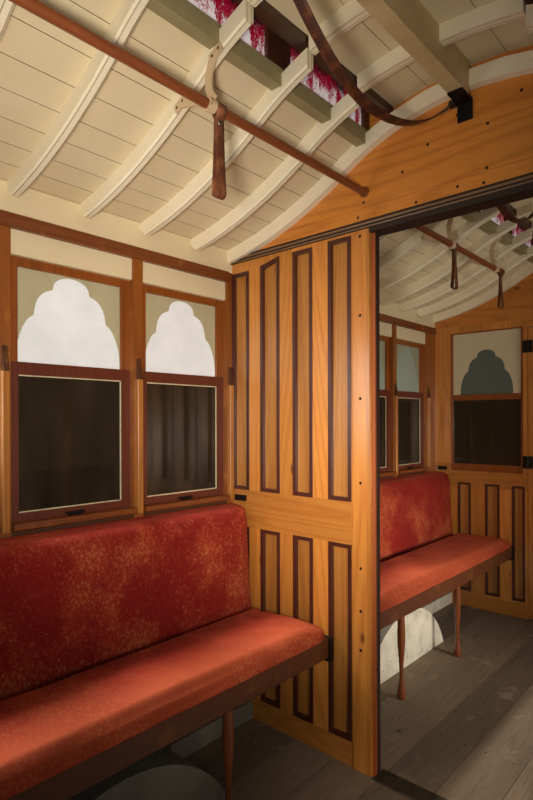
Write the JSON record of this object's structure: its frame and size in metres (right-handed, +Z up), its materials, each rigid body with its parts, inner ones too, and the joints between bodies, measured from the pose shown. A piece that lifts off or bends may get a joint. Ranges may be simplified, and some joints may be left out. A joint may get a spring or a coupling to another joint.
{
  "type": "tram saloon section",
  "caption": "Section of a wooden tram saloon: side wall with windows and benches, floor, ribbed roof with a monitor, a panelled bulkhead with its doorway, and an end wall with its door.",
  "frame": {"origin": "on the underside of the underframe, at the car's centre line and the bulkhead's near face", "axes": "+X across the car to the right, +Y along the car towards the end wall, +Z up"},
  "size_m": [1.474, 3.45, 2.497],
  "materials": {
    "painted_oak": "worn dark paint",
    "floor_pine": "bare, weathered and trodden",
    "body_paint": "old gloss paint",
    "red_varnish": "worn red-brown varnish",
    "orange_varnish": "worn golden varnish on softwood",
    "dark_varnish": "dark worn varnish",
    "cream_paint": "aged cream paint",
    "cream_iron": "aged cream paint on iron",
    "iron": "bare and dull",
    "brass": "tarnished",
    "canvas": "painted roofing canvas",
    "red_plush": "worn pile",
    "strap_leather": "worn and creased",
    "etched_glass": "obscured, with a pattern",
    "red_glass": "coloured and figured",
    "clear_glass": "clear"
  },
  "bodies": {
    "saloon": {"long_sills": "painted_oak", "cross_bearers": "painted_oak", "floor_boards": "floor_pine", "threshold_strip": "brass", "wheel_boxes": "cream_paint", "skirting_boards": "cream_paint", "wall_posts": "red_varnish", "wall_lower_panels": "body_paint", "window_sills": "red_varnish", "head_panels": "cream_paint", "cant_rail": "red_varnish", "cornice_board": "cream_paint", "upper_sashes": "orange_varnish", "lower_sashes": "dark_varnish", "upper_lights": "etched_glass", "lower_lights": "clear_glass", "sash_stops": "orange_varnish", "stop_brackets": "orange_varnish", "sash_lifts": "iron", "outside_mouldings": "body_paint", "roof_ribs": "cream_paint", "ceiling_planks": "cream_paint", "roof_canvas": "canvas", "deck_sills": "cream_paint", "deck_mullions": "dark_varnish", "deck_lights": "red_glass", "monitor_rails": "dark_varnish", "purlins": "cream_paint", "upper_ribs": "cream_paint", "monitor_roof": "canvas", "monitor_ends": "orange_varnish", "bulkhead_frame": "orange_varnish", "joinery_panels": "orange_varnish", "joinery_beads": "dark_varnish", "right_posts": "orange_varnish", "jamb_strips": "dark_varnish", "head_rail": "dark_varnish", "header_board": "orange_varnish", "end_wall_frame": "orange_varnish", "end_wall_sash": "red_varnish", "end_arch_board": "orange_varnish", "hinge_frame_leaves": "iron", "bench_frames": "dark_varnish", "seat_cushions": "red_plush", "back_cushions": "red_plush", "bench_legs": "red_varnish", "wall_irons": "iron", "hand_poles": "red_varnish", "pole_brackets": "cream_iron", "bell_strap_near": "strap_leather", "bell_strap_far": "strap_leather"},
    "end_door": {"end_door_frame": "orange_varnish", "end_door_glass": "clear_glass", "end_door_panels": "orange_varnish", "end_door_beads": "dark_varnish", "end_door_knobs": "brass", "hinge_door_leaves": "iron"},
    "strap_near": {"strap_hanger_near": "strap_leather"},
    "strap_mid": {"strap_hanger_mid": "strap_leather"},
    "strap_far": {"strap_hanger_far": "strap_leather"}
  },
  "joints": [
    {"name": "end_door_hinge", "type": "hinge", "parent": "saloon", "child": "end_door", "pos_m": [-0.4075, 1.903, 1], "axis": [0, 0, -1], "range_deg": [0, 90]},
    {"name": "strap_near_swing", "type": "hinge", "parent": "saloon", "child": "strap_near", "pos_m": [-0.352, -0.678, 2.115], "axis": [0, 1, 0], "range_deg": [-75, 75]},
    {"name": "strap_mid_swing", "type": "hinge", "parent": "saloon", "child": "strap_mid", "pos_m": [-0.352, 0.731, 2.1], "axis": [0, 1, 0], "range_deg": [-75, 75]},
    {"name": "strap_far_swing", "type": "hinge", "parent": "saloon", "child": "strap_far", "pos_m": [-0.352, 1.3, 2.1], "axis": [0, 1, 0], "range_deg": [-75, 75]}
  ]
}
